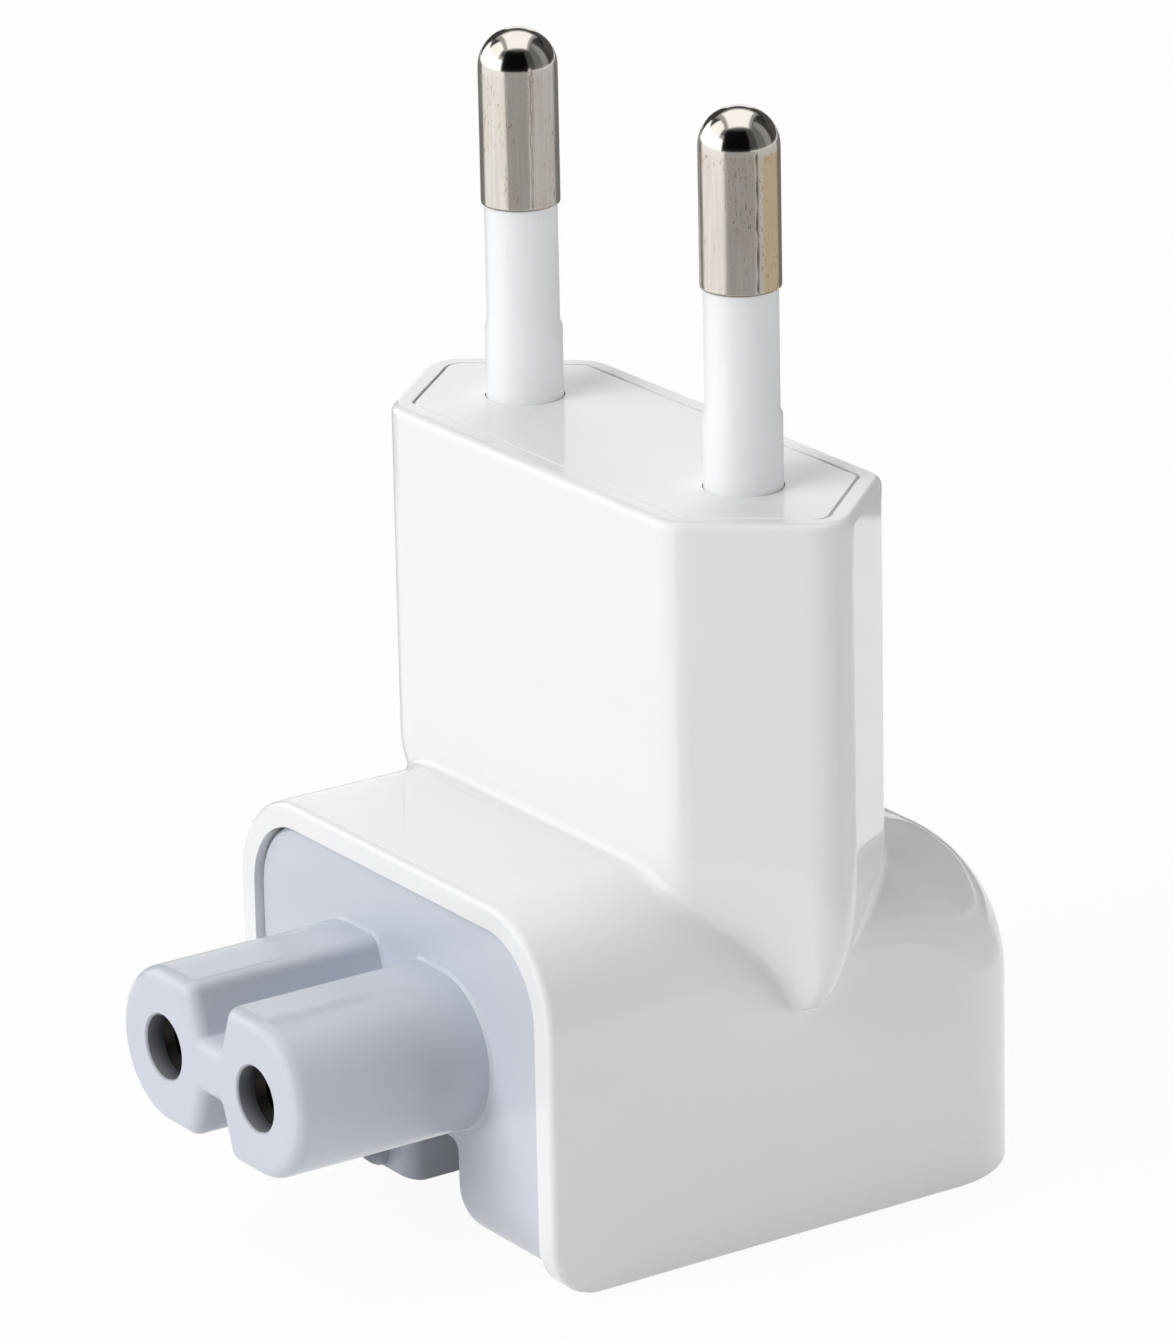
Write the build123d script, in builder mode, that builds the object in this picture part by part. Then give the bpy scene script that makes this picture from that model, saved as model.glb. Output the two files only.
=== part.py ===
"""Plug head of a charger: a white moulded housing with a flat two-pin plug on top and a grey
figure-eight connector in front.

Millimetres, +Z up. The plug faces +Z, the connector nose points to -Y, and the origin is the centre of the
overall box at the base.
"""

import os
from math import asin, atan2, cos, hypot, pi, sin, sqrt, tan

from build123d import *

# Body of the housing
body_width = 28.0
body_depth = 30.0
body_height = 19.3
side_round = 5.3  # rounding between the side faces and the top and back
back_round = 9.3  # large rounding from the top down to the back
front_corner = 2.8  # rounding where the front turns under
edge_break = 0.35  # small rounding on the rim in front and below
wall = 1.3  # body wall, which shows as the rim round the insert

# Six-sided plug column
plug_top = 37.8  # height of the plug face above the base
flat_margin = 2.75  # long flats beyond the pins' axes
point_reach = 5.0  # rounded points beyond the flats
plug_thickness = 12.9
plug_round = 2.0  # upright corners
plug_edge = 0.45  # rounding round the plug face
column_wall = 2.1
column_floor = 22.5  # bottom of the hollow in the overhanging ends
hollow_round = 0.5  # upright corners of the hollow
passage_gap = 0.7  # beside the bus strips, which go down into the body here
junction_round = 0.6  # fillet where the column grows out of the body

# Keel, the drawn-in lower ends of the column
keel_level = 18.6  # front flanks bend inwards here
keel_back = 2.5  # back flanks bend this much lower
keel_bend = 5.0  # radius of that bend
keel_ease = 1.5  # upright run that the keel starts with
keel_foot = 0.5  # half thickness left at the tip
ridge_top = 18.0  # the points curve back to the body below this
keel_fall = 2.0  # least fall of that curve
keel_drop = 1.23  # further fall for each millimetre that the points overhang the body
keel_sunk = 0.15  # tip inside the body's side face
keel_round = 0.1  # corner left where the flanks meet
keel_sections = 9

# Plug face plate
plate_inset = 1.05  # rim of the column left round the plate
plate_thickness = 2.4
plate_gap = 0.08
plate_edge = 0.12

# Pins and sleeves
pin_spacing = 19.0
pin_radius = 2.0
pin_length = 19.0  # above the plug face
metal_length = 9.0  # bare metal end
core_radius = 1.45  # pin inside the sleeve
flange_radius = 3.0  # shoulder under the plate
flange_thickness = 1.0
tail_radius = 1.3  # riveted through the bus strip
rivet_radius = 1.9
rivet_height = 0.5
sleeve_radius = 1.84
sleeve_gap = 0.03
collar_radius = 1.96  # thicker foot of the sleeve
collar_height = 3.9
collar_step = 0.3  # slope from the foot to the sleeve
hole_gap = 0.06  # round the sleeve in the plate
pin_chamfer = 0.12

# Connector insert
insert_gap = 0.12  # between the insert and the rim
insert_recess = 0.4  # insert's face behind the rim
insert_corner = 3.5
insert_edge = 0.15
front_thickness = 2.0
base_thickness = 2.2
channel_width = 10.2  # slide channel for the stud of the charger
channel_height = 5.7
channel_corner = 0.7
channel_length = 22.0  # from the body's front to the round end
channel_wall = 1.2
rail_clear = 6.4  # between the rails that hold the stud
rail_start = 2.8  # behind the body's front
rail_round = 0.9
mouth_round = 1.3  # lower corners of the channel's mouth
stop_reach = 1.2  # ribs inside the body that the insert is pushed against
stop_depth = 2.0
stop_height = 12.0

# Figure-eight nose
nose_length = 10.7  # in front of the body
nose_width = 16.6
nose_height = 8.1
nose_level = 10.3  # height of its axis above the base
nose_edge = 0.7
nose_foot = 0.15
notch_mouth = 3.4
notch_floor = 1.6
notch_depth = 2.6
notch_mouth_round = 0.75
notch_floor_round = 0.25
barrel_length = 4.0  # nose carried on behind the front plate
contact_spacing = 8.5
contact_hole_radius = 1.65
hole_edge = 0.12

# Contact sockets and bus strips
socket_gap = 0.05
socket_bore = 1.2
socket_recess = 1.4  # behind the nose's face
socket_slit = 0.4
slit_length = 4.5
socket_end = 0.8  # closed rear of the tube
collar_length = 1.0  # shoulder that sits on the nose's barrel
socket_collar = 2.1
tang_width = 2.0
tang_length = 3.5
strip_width = 4.0
strip_thickness = 0.8
strip_bend = 1.0
strip_stand = 3.05  # strip's upright ahead of the pins' axis
strip_clear = 0.55  # strip's foot behind the socket's shoulder
tab_length = 5.4
tail_gap = 0.05

# Places worked out from the sizes above
plug_flat = pin_spacing + 2 * flat_margin
plug_length = plug_flat + 2 * point_reach
passage_width = pin_spacing + strip_width + 2 * passage_gap
front_y = (nose_length - body_depth) / 2
back_y = front_y + body_depth
column_y = front_y + body_depth / 2
nose_tip_y = front_y - nose_length
insert_y = front_y + insert_recess
stop_y = insert_y + front_thickness
rail_y = front_y + rail_start
channel_end = front_y + channel_length - channel_width / 2
barrel_end = stop_y + barrel_length
plate_bottom = plug_top - plate_thickness
pin_tip = plug_top + pin_length
metal_foot = pin_tip - metal_length
collar_top = plug_top + collar_height
flange_bottom = plate_bottom - flange_thickness
tab_bottom = flange_bottom - strip_thickness
rivet_bottom = tab_bottom - rivet_height
socket_front = nose_tip_y + socket_recess
socket_back = barrel_end + collar_length
tang_bottom = nose_level - strip_thickness / 2
strip_bottom = tang_bottom - strip_thickness
upright_y = column_y - strip_stand
foot_front = socket_back + strip_clear
foot_back = upright_y - strip_bend
insert_inset = wall + insert_gap
overrun = 1.0  # cuts carried past the faces they open
near = 0.01

os.makedirs("parts", exist_ok=True)


def save(piece, name):
    """Label a finished piece and write it under its own name."""
    piece.part.label = name
    export_step(piece.part, f"parts/{name}.step")


def body_form(inset, front, bottom, corner=0.0, edge=0.0, break_edges=fillet):
    """Rounded body drawn in on its sides, top and back; a corner and broken edges finish its front."""
    depth = back_y - inset - front
    height = body_height - inset - bottom
    with BuildPart() as form:
        with BuildSketch(Plane.YZ) as profile:
            with Locations((front + depth / 2, bottom + height / 2)):
                Rectangle(depth, height)
            fillet(profile.vertices().group_by(Axis.X)[-1].sort_by(Axis.Y)[-1], back_round - inset)
            if corner:
                fillet(profile.vertices().group_by(Axis.X)[0].sort_by(Axis.Y)[0], corner)
        extrude(amount=body_width / 2 - inset, both=True)
        side_edges = form.faces().filter_by(Axis.X).edges()
        rounded = side_edges.filter_by(
            lambda edge: edge.center().Z > body_height - side_round or edge.center().Y > back_y - back_round
        )
        fillet(rounded, side_round - inset)
        if corner:
            front_edges = form.faces().sort_by(Axis.Y)[0].edges().sort_by(Axis.Z)[1:]
            bottom_edges = form.faces().sort_by(Axis.Z)[0].edges().sort_by(Axis.Y)[1:]
            corner_edges = form.faces().filter_by(Axis.X).edges().filter_by(GeomType.CIRCLE).sort_by(Axis.Z)[:2]
            break_edges(front_edges + bottom_edges + corner_edges, edge)
    return form.part


def flank_fall(half, run, rounding):
    """Fall of a flank for each millimetre, from a flat's end to a rounded point."""
    return tan(atan2(half, run) - asin(rounding / hypot(half, run)))


def plug_outline(reach, front, back, rounding, inset=0.0):
    """Six-sided outline whose rounded points reach a given distance; an inset draws every side in."""
    half_flat = plug_flat / 2
    run = reach - rounding - half_flat
    front_fall = flank_fall(front, run, rounding)
    point = (front + back) / (front_fall + flank_fall(back, run, rounding))
    point_y = point * front_fall - front
    with BuildSketch() as outline:
        with Locations((0, column_y)):
            Polygon(
                (half_flat + point, point_y),
                (half_flat, back),
                (-half_flat, back),
                (-half_flat - point, point_y),
                (-half_flat, -front),
                (half_flat, -front),
                align=None,
            )
        if inset:
            offset(amount=-inset, kind=Kind.INTERSECTION)
            fillet(outline.vertices(), max(rounding - inset, hollow_round))
        else:
            fillet(outline.vertices(), rounding)
    return outline.sketch


def plug_inset(inset):
    """Plug outline drawn in by the same amount on every side."""
    return plug_outline(plug_length / 2, plug_thickness / 2, plug_thickness / 2, plug_round, inset)


def channel_plan(half_width, front):
    """Plan of the slide channel: straight sides from a front level to a round end."""
    with BuildSketch() as plan:
        with Locations((0, (front + channel_end) / 2)):
            Rectangle(2 * half_width, channel_end - front)
        with Locations((0, channel_end)):
            Circle(half_width)
    return plan.sketch


# Keel: how far the flanks and the points draw in at a level
reach_top = plug_length / 2
reach_foot = body_width / 2 - keel_sunk
keel_tip = ridge_top - keel_fall - keel_drop * (reach_top - body_width / 2)


def flank_slope(bend_level):
    """Lean of a flank from its bend down to the tip."""
    return atan2(plug_thickness / 2 - keel_foot, bend_level - keel_tip)


def bend_start(bend_level):
    """Level where the bend of a flank leaves the upright."""
    return bend_level + keel_bend * tan(flank_slope(bend_level) / 2)


def half_thickness(level, bend_level):
    """Column's middle to a flat: upright, then a bend into a straight slope."""
    slope = flank_slope(bend_level)
    fall = max(bend_start(bend_level) - level, 0)
    bend_fall = keel_bend * sin(slope)
    if fall < bend_fall:
        return plug_thickness / 2 - keel_bend + sqrt(keel_bend**2 - fall**2)
    return plug_thickness / 2 - keel_bend * (1 - cos(slope)) - (fall - bend_fall) * tan(slope)


def ridge(level):
    """Reach of the rounded points: a quarter ellipse that ends on the body's side."""
    share = min(max((ridge_top - level) / (ridge_top - keel_tip), 0), 1)
    return reach_foot + (reach_top - reach_foot) * sqrt(1 - share**2)


# Housing, plug column on its keel
bend_top = bend_start(keel_level)
with BuildPart() as column:
    with BuildSketch(Plane.XY.offset(bend_top + keel_ease)):
        add(plug_inset(0))
    extrude(amount=plug_top - bend_top - keel_ease)
    for rise in (keel_ease, keel_ease / 2):
        with BuildSketch(Plane.XY.offset(bend_top + rise)):
            add(plug_inset(0))
    for i in range(keel_sections + 1):
        level = keel_tip + (bend_top - keel_tip) * (1 - sin(i / keel_sections * pi / 2))
        front = half_thickness(level, keel_level)
        back = half_thickness(level, keel_level - keel_back)
        rounding = keel_round + (plug_round - keel_round) * front / (plug_thickness / 2)
        with BuildSketch(Plane.XY.offset(level)):
            add(plug_outline(ridge(level), front, back, rounding))
    loft()
    fillet(column.faces().sort_by(Axis.Z)[-1].edges(), plug_edge)

# Housing, body and column in one moulding with the hollows for the other pieces
with BuildPart() as housing:
    add(body_form(0, front_y, 0, front_corner, edge_break))
    add(column.part)
    fillet(housing.edges(Select.NEW), junction_round)
    add(body_form(wall, front_y - overrun, -overrun), mode=Mode.SUBTRACT)
    with BuildSketch(Plane.XY.offset(column_floor)):
        add(plug_inset(column_wall))
    extrude(amount=plug_top - column_floor, mode=Mode.SUBTRACT)
    with BuildSketch(Plane.XY.offset(body_height - side_round)):
        with Locations((0, column_y)):
            RectangleRounded(passage_width, plug_thickness - 2 * column_wall, hollow_round)
    extrude(amount=column_floor - body_height + side_round, mode=Mode.SUBTRACT)
    with BuildSketch(Plane.XY.offset(plate_bottom)):
        add(plug_inset(plate_inset))
    extrude(amount=plate_thickness, mode=Mode.SUBTRACT)
    with BuildSketch(Plane.XY.offset(base_thickness)):
        for side in (-1, 1):
            with Locations((side * (body_width / 2 - wall / 2 - stop_reach / 2), stop_y + stop_depth / 2)):
                Rectangle(wall + stop_reach - 2 * edge_break, stop_depth)
    extrude(amount=stop_height - base_thickness)
save(housing, "housing")

# Plug face plate, let into the column's top
with BuildPart() as plug_face_plate:
    with BuildSketch(Plane.XY.offset(plate_bottom)):
        add(plug_inset(plate_inset + plate_gap))
        with Locations((-pin_spacing / 2, column_y), (pin_spacing / 2, column_y)):
            Circle(collar_radius + hole_gap, mode=Mode.SUBTRACT)
    extrude(amount=plate_thickness)
    chamfer(plug_face_plate.faces().sort_by(Axis.Z)[-1].outer_wire().edges(), plate_edge)
save(plug_face_plate, "plug_face_plate")

# Contact pins and their insulating sleeves
for side, name in ((-1, "left"), (1, "right")):
    with BuildPart() as pin:
        with BuildSketch(Plane.XZ) as pin_half:
            with BuildLine():
                Polyline(
                    (0, pin_tip),
                    (0, rivet_bottom),
                    (rivet_radius, rivet_bottom),
                    (rivet_radius, tab_bottom),
                    (tail_radius, tab_bottom),
                    (tail_radius, flange_bottom),
                    (flange_radius, flange_bottom),
                    (flange_radius, plate_bottom),
                    (core_radius, plate_bottom),
                    (core_radius, metal_foot),
                    (pin_radius - pin_chamfer, metal_foot),
                    (pin_radius, metal_foot + pin_chamfer),
                    (pin_radius, pin_tip - pin_radius),
                )
                RadiusArc((pin_radius, pin_tip - pin_radius), (0, pin_tip), -pin_radius)
            make_face()
        revolve(axis=Axis.Z)
    pin.part = pin.part.moved(Location((side * pin_spacing / 2, column_y, 0)))
    save(pin, f"{name}_pin")

    with BuildPart() as sleeve:
        with BuildSketch(Plane.XZ):
            Polygon(
                (core_radius + sleeve_gap, plate_bottom),
                (collar_radius, plate_bottom),
                (collar_radius, collar_top - collar_step),
                (sleeve_radius, collar_top),
                (sleeve_radius, metal_foot),
                (core_radius + sleeve_gap, metal_foot),
                align=None,
            )
        revolve(axis=Axis.Z)
    sleeve.part = sleeve.part.moved(Location((side * pin_spacing / 2, column_y, 0)))
    save(sleeve, f"{name}_pin_sleeve")

# Figure-eight nose with its barrel
with BuildPart() as nose:
    with BuildSketch(Plane.XZ.offset(-barrel_end)) as nose_end:
        with Locations((0, nose_level)):
            SlotOverall(nose_width, nose_height)
            for turn in (1, -1):
                top = turn * nose_height / 2
                Polygon(
                    (-notch_mouth / 2, top),
                    (notch_mouth / 2, top),
                    (notch_floor / 2, top - turn * notch_depth),
                    (-notch_floor / 2, top - turn * notch_depth),
                    align=None,
                    mode=Mode.SUBTRACT,
                )
        corners = nose_end.vertices().filter_by(lambda corner: abs(corner.X) < notch_mouth / 2 + near)
        fillet(corners.filter_by(lambda corner: abs(corner.X) > notch_floor / 2 + near), notch_mouth_round)
        floor_corners = nose_end.vertices().filter_by(lambda corner: abs(corner.X) < notch_floor / 2 + near)
        fillet(floor_corners, notch_floor_round)
    extrude(amount=barrel_end - nose_tip_y)
    fillet(nose.faces().sort_by(Axis.Y)[0].edges(), nose_edge)

# Slide channel above the rails
with BuildPart() as channel:
    with BuildSketch(Plane.XY.offset(base_thickness)):
        add(channel_plan(channel_width / 2, insert_y - overrun))
    extrude(amount=channel_height - base_thickness)
    fillet(channel.faces().sort_by(Axis.Z)[-1].edges(), channel_corner)

# Connector insert: front plate, base with the slide channel, and the nose
with BuildPart() as connector_insert:
    add(body_form(insert_inset, insert_y, 0, insert_corner, insert_edge, chamfer))
    with BuildSketch(Plane.YZ):
        with Locations(((stop_y + back_y) / 2, (base_thickness + body_height) / 2)):
            Rectangle(back_y - stop_y, body_height - base_thickness)
    extrude(amount=body_width / 2, both=True, mode=Mode.SUBTRACT)
    with BuildSketch(Plane.XY.offset(base_thickness / 2)):
        add(channel_plan(channel_width / 2 + channel_wall, stop_y - near))
    extrude(amount=channel_height + channel_wall - base_thickness / 2)
    add(nose.part)
    foot = connector_insert.edges().filter_by_position(Axis.Y, insert_y - near, insert_y + near)
    foot = foot.filter_by_position(Axis.Z, nose_level - nose_height / 2 - near, nose_level + nose_height / 2 + near)
    chamfer(foot.filter_by_position(Axis.X, -nose_width / 2 - near, nose_width / 2 + near), nose_foot)
    add(channel.part, mode=Mode.SUBTRACT)
    with BuildSketch(Plane.XY.offset(-overrun)):
        add(channel_plan(rail_clear / 2, insert_y - overrun))
    extrude(amount=overrun + base_thickness, mode=Mode.SUBTRACT)
    with BuildSketch(Plane.XZ.offset(-rail_y)):
        with Locations((0, base_thickness / 2)):
            Rectangle(channel_width, base_thickness)
        with Locations((0, mouth_round / 2)):
            Rectangle(channel_width + 2 * mouth_round, mouth_round)
        for side in (-1, 1):
            with Locations((side * (channel_width / 2 + mouth_round), mouth_round)):
                Circle(mouth_round, mode=Mode.SUBTRACT)
    extrude(amount=rail_y - insert_y + overrun, mode=Mode.SUBTRACT)
    rail_ends = connector_insert.edges().filter_by(Axis.Z).filter_by_position(Axis.Y, rail_y - near, rail_y + near)
    fillet(rail_ends.filter_by(lambda edge: abs(abs(edge.center().X) - rail_clear / 2) < near), rail_round)
    with BuildSketch(Plane.XZ.offset(-barrel_end)):
        with Locations((-contact_spacing / 2, nose_level), (contact_spacing / 2, nose_level)):
            Circle(contact_hole_radius)
    extrude(amount=barrel_end - nose_tip_y, mode=Mode.SUBTRACT)
    nose_face = connector_insert.faces().sort_by(Axis.Y)[0]
    chamfer([edge for wire in nose_face.inner_wires() for edge in wire.edges()], hole_edge)
save(connector_insert, "connector_insert")

# Contact sockets and bus strips
for side, name in ((-1, "left"), (1, "right")):
    contact_x = side * contact_spacing / 2
    pin_x = side * pin_spacing / 2
    with BuildPart() as socket:
        with BuildSketch(Plane.XZ.offset(-barrel_end)):
            with Locations((contact_x, nose_level)):
                Circle(contact_hole_radius - socket_gap)
        extrude(amount=barrel_end - socket_front)
        with BuildSketch(Plane.XZ.offset(-socket_back)):
            with Locations((contact_x, nose_level)):
                Circle(socket_collar)
        extrude(amount=collar_length)
        with BuildSketch(Plane.XZ.offset(socket_end - socket_back)):
            with Locations((contact_x, nose_level)):
                Circle(socket_bore)
        extrude(amount=socket_back - socket_end - socket_front, mode=Mode.SUBTRACT)
        with BuildSketch(Plane.XZ.offset(-socket_front - slit_length)):
            with Locations((contact_x, nose_level)):
                Rectangle(2 * contact_hole_radius, socket_slit)
        extrude(amount=slit_length, mode=Mode.SUBTRACT)
        with BuildSketch(Plane.XZ.offset(-socket_back - tang_length)):
            with Locations((contact_x, nose_level)):
                Rectangle(tang_width, strip_thickness)
        extrude(amount=tang_length)
    save(socket, f"{name}_contact_socket")

    with BuildPart() as strip:
        with BuildSketch(Plane.YZ.offset(pin_x)):
            with BuildLine() as bend:
                Polyline(
                    (foot_front, strip_bottom + strip_thickness / 2),
                    (upright_y, strip_bottom + strip_thickness / 2),
                    (upright_y, tab_bottom + strip_thickness / 2),
                    (upright_y + tab_length, tab_bottom + strip_thickness / 2),
                )
                fillet(bend.vertices().filter_by_position(Axis.X, upright_y - near, upright_y + near), strip_bend)
            trace(line_width=strip_thickness)
        extrude(amount=strip_width / 2, both=True)
        foot_start = contact_x - side * strip_width / 2
        with BuildSketch(Plane.XY.offset(strip_bottom)):
            with Locations(((foot_start + pin_x) / 2, (foot_front + foot_back) / 2)):
                Rectangle(abs(pin_x - foot_start), foot_back - foot_front)
        extrude(amount=strip_thickness)
        with BuildSketch(Plane.XY.offset(tab_bottom)):
            with Locations((pin_x, column_y)):
                Circle(tail_radius + tail_gap)
        extrude(amount=strip_thickness, mode=Mode.SUBTRACT)
    save(strip, f"{name}_bus_strip")
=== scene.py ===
"""Looks of the charger plug head: white moulded shell, nickel-plated pins in insulating sleeves, and the
grey figure-eight connector, on a plain white stage.

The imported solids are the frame, in metres. The pins and sleeves are worked out again as fine surfaces, and
the other pieces keep their solids and get their finish here.
"""

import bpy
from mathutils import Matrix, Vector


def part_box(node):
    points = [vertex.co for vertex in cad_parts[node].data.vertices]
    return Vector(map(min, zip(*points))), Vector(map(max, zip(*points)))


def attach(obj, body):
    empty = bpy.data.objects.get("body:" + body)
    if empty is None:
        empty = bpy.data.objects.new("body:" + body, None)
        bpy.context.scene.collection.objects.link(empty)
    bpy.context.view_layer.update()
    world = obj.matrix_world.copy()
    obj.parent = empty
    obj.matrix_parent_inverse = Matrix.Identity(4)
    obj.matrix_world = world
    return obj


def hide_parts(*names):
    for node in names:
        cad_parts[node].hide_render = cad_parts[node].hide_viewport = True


bl_info = {
    "name": "Charger plug head",
    "version": (1, 0, 0),
    "blender": (4, 5, 0),
    "location": "View3D > Sidebar > Plug head",
    "description": "Finishes the plug head's pieces and sets its stage",
    "category": "Object",
}

from math import cos, pi, radians, sin

import bmesh
import bpy
import numpy as np
from mathutils import Matrix, Vector

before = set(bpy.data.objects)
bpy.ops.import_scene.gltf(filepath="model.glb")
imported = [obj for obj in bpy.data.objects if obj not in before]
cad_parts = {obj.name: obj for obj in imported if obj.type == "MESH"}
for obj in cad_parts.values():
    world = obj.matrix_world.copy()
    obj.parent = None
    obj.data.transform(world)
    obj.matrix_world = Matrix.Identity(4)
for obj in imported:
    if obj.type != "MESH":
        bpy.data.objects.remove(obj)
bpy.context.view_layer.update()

MM = 0.001
SIDES = ("left", "right")
TURN_STEPS = 128  # points round a pin or a sleeve
LIP_STEPS = 64  # points round a contact's lip
CARD_STEPS = (13, 25)  # rows and columns of a studio card
MERGE_REACH = 1e-7  # points nearer than this become one
SHARP_EDGE = radians(35)  # edges that bend more than this stay crisp
FLOOR_LEVEL = -0.02 * MM  # a little under the base, so that the two share no plane
CARD_LEVEL = 0.2 * MM  # grey cards on the floor
PICTURE_HEIGHT = 36  # mm, which the focal length is for


def linear(code):
    """Linear colour of an sRGB hex code."""
    parts = np.array([int(code[i : i + 2], 16) for i in (1, 3, 5)]) / 255
    return tuple(np.where(parts <= 0.04045, parts / 12.92, ((parts + 0.055) / 1.055) ** 2.4))


def colour(name, description, code):
    """Colour property whose default is an sRGB hex code."""
    return bpy.props.FloatVectorProperty(
        name=name, description=description, subtype="COLOR", size=3, min=0, max=1, default=linear(code)
    )


def length(name, description, default):
    """Length property in metres."""
    return bpy.props.FloatProperty(
        name=name, description=description, default=default, min=0, unit="LENGTH", precision=5
    )


def angle(name, description, default):
    """Angle property, with its default in degrees."""
    return bpy.props.FloatProperty(
        name=name, description=description, default=radians(default), subtype="ANGLE"
    )


def share(name, description, default):
    """Share property, from nought to one."""
    return bpy.props.FloatProperty(
        name=name, description=description, default=default, min=0, max=1, subtype="FACTOR"
    )


def power(name, description, default):
    """Lamp's power property in watts."""
    return bpy.props.FloatProperty(
        name=name, description=description, default=default, min=0, subtype="POWER"
    )


class PlugHeadMetal(bpy.types.PropertyGroup):
    """Sizes and colours of the pins and contacts."""

    pin_radius: length("Pin radius", "Bare metal end of a pin", 2.0 * MM)
    metal_length: length("Metal length", "Bare metal end above the sleeve", 9.0 * MM)
    core_radius: length("Core radius", "Pin inside its sleeve", 1.45 * MM)
    tail_radius: length("Tail radius", "Pin's tail through the bus strip", 1.3 * MM)
    rivet_radius: length("Rivet radius", "Head that holds the bus strip", 1.9 * MM)
    rivet_height: length("Rivet height", "Head that holds the bus strip", 0.5 * MM)
    pin_edge: length("Pin edge", "Rounding of the rivet head and of the bare end's foot", 0.15 * MM)
    score_depth: length("Score depth", "Line rubbed down each pin by a socket's spring", 0.05 * MM)
    score_width: length("Score width", "Line rubbed down each pin by a socket's spring", 0.07 * MM)
    left_dirt: share("Left dirt", "Dirt in the left pin's line", 0.25)
    right_dirt: share("Right dirt", "Dirt in the right pin's line", 0.95)
    left_score: angle("Left score", "Turn of the left pin's line about its axis", -16)
    right_score: angle("Right score", "Turn of the right pin's line about its axis", -10)
    lip_recess: length("Lip recess", "Contact's lip behind the nose's face", 1.0 * MM)
    lip_radius: length("Lip radius", "Contact's lip, outside", 1.63 * MM)
    lip_rim: length("Lip rim", "Flat rim in front of the lip", 0.04 * MM)
    bore_radius: length("Bore radius", "Contact's bore", 1.2 * MM)
    worn_turn: angle("Worn side", "Turn of the warm band from the pins' outer sides to the back", 22)
    worn_start: share("Worn start", "Start of the warm band, from the pin's axis to its side", 0.91)
    nickel: colour("Nickel", "Nickel plate on the pins", "#E8E2D9")
    stain: colour("Stain", "Worn nickel with the brass shining through", "#E4C79B")
    pit: colour("Pit", "Dirt in the pits of the plate", "#6A5E50")
    # Painted shade: the contacts' near-black colour stands in for the shade deep in the nose's holes
    contact: colour("Contact metal", "Tarnished contact sockets", "#2E2B29")
    brass: colour("Brass", "Bus strips inside", "#D9BC7A")


class PlugHeadPlastic(bpy.types.PropertyGroup):
    """Sizes and colours of the moulded pieces."""

    sleeve_radius: length("Sleeve radius", "Sleeve above its foot", 1.84 * MM)
    sleeve_gap: length("Sleeve gap", "Room between a sleeve and its pin's core", 0.03 * MM)
    collar_height: length("Collar height", "Thicker foot above the plug face", 3.9 * MM)
    collar_slope: length("Collar slope", "Slope at the top of the foot", 0.3 * MM)
    plug_round: length("Plug rounding", "Upright corners at the plug's ends", 2.0 * MM)
    seam_width: length("Seam width", "Parting line on the plug's ends", 0.12 * MM)
    seam_height: length("Seam height", "Parting line on the plug's ends", 0.012 * MM)
    plug_edge: length("Plug edge", "Rounding round the plug face", 0.45 * MM)
    seam_foot: length("Seam foot", "Level where the parting line starts", 19.0 * MM)
    shell: colour("Shell", "White moulded housing and plug plate", "#F0F0F0")
    sleeve: colour("Sleeve", "Insulating sleeves", "#F1F2F3")
    insert: colour("Insert", "Grey connector moulding", "#CDD1DC")
    nose_bore: length("Nose bore", "Radius of the holes in the nose", 1.65 * MM)
    # Painted shade: dark colour for the nose's bores, standing in for the shade deep in the holes
    bore_shade: colour("Rub", "Metal rubbed off in the nose's holes", "#55575C")


class PlugHeadStage(bpy.types.PropertyGroup):
    """Camera, light and floor."""

    azimuth: angle("Azimuth", "Camera round the plug, from the nose", 56.15)
    elevation: angle("Elevation", "Camera above the floor", 19.03)
    roll: angle("Roll", "Turn of the picture", -1.2)
    distance: length("Distance", "Camera from its target", 395.1 * MM)
    target: bpy.props.FloatVectorProperty(
        name="Target",
        description="Point in the middle of the picture",
        subtype="TRANSLATION",
        unit="LENGTH",
        default=(0.88 * MM, 1.78 * MM, 26.7 * MM),
    )
    focal: bpy.props.FloatProperty(
        name="Focal length", description="For a 36 mm high picture, in millimetres", default=214.5
    )
    sky: share("Sky", "Even light from all round", 0.05)
    key_power: power("Key", "Soft box above the front", 1.9)
    front_power: power("Front", "Soft box before the nose", 3.9)
    fill_power: power("Fill", "Soft box low on the right", 2.1)
    rear_power: power("Rear", "Soft box low behind the left", 2.2)
    overhead_power: power("Overhead", "Soft box above the back", 0.85)
    card_distance: length("Cards", "Distance of the studio's cards", 0.8)
    floor_size: length("Floor", "Side of the square floor", 3.0)
    floor_white: share("Floor white", "Part of the floor's look that no shadow dims", 0.94)
    paper: colour("Paper", "Paper of the floor", "#F3F3F3")


PROPERTY_GROUPS = {
    "plug_metal": PlugHeadMetal,
    "plug_plastic": PlugHeadPlastic,
    "plug_stage": PlugHeadStage,
}


def add_node(tree, kind, inputs=None, **settings):
    """Add a shader node with its settings; each input takes a value, or a socket to link from."""
    node = tree.nodes.new(kind)
    for key, value in settings.items():
        setattr(node, key, value)
    for key, value in (inputs or {}).items():
        if isinstance(value, bpy.types.NodeSocket):
            tree.links.new(value, node.inputs[key])
        else:
            node.inputs[key].default_value = value
    return node


def new_material(name):
    """Empty node material with its output node."""
    material = bpy.data.materials.new(name)
    material.use_nodes = True
    material.node_tree.nodes.clear()
    output = add_node(material.node_tree, "ShaderNodeOutputMaterial")
    return material, material.node_tree, output


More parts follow.
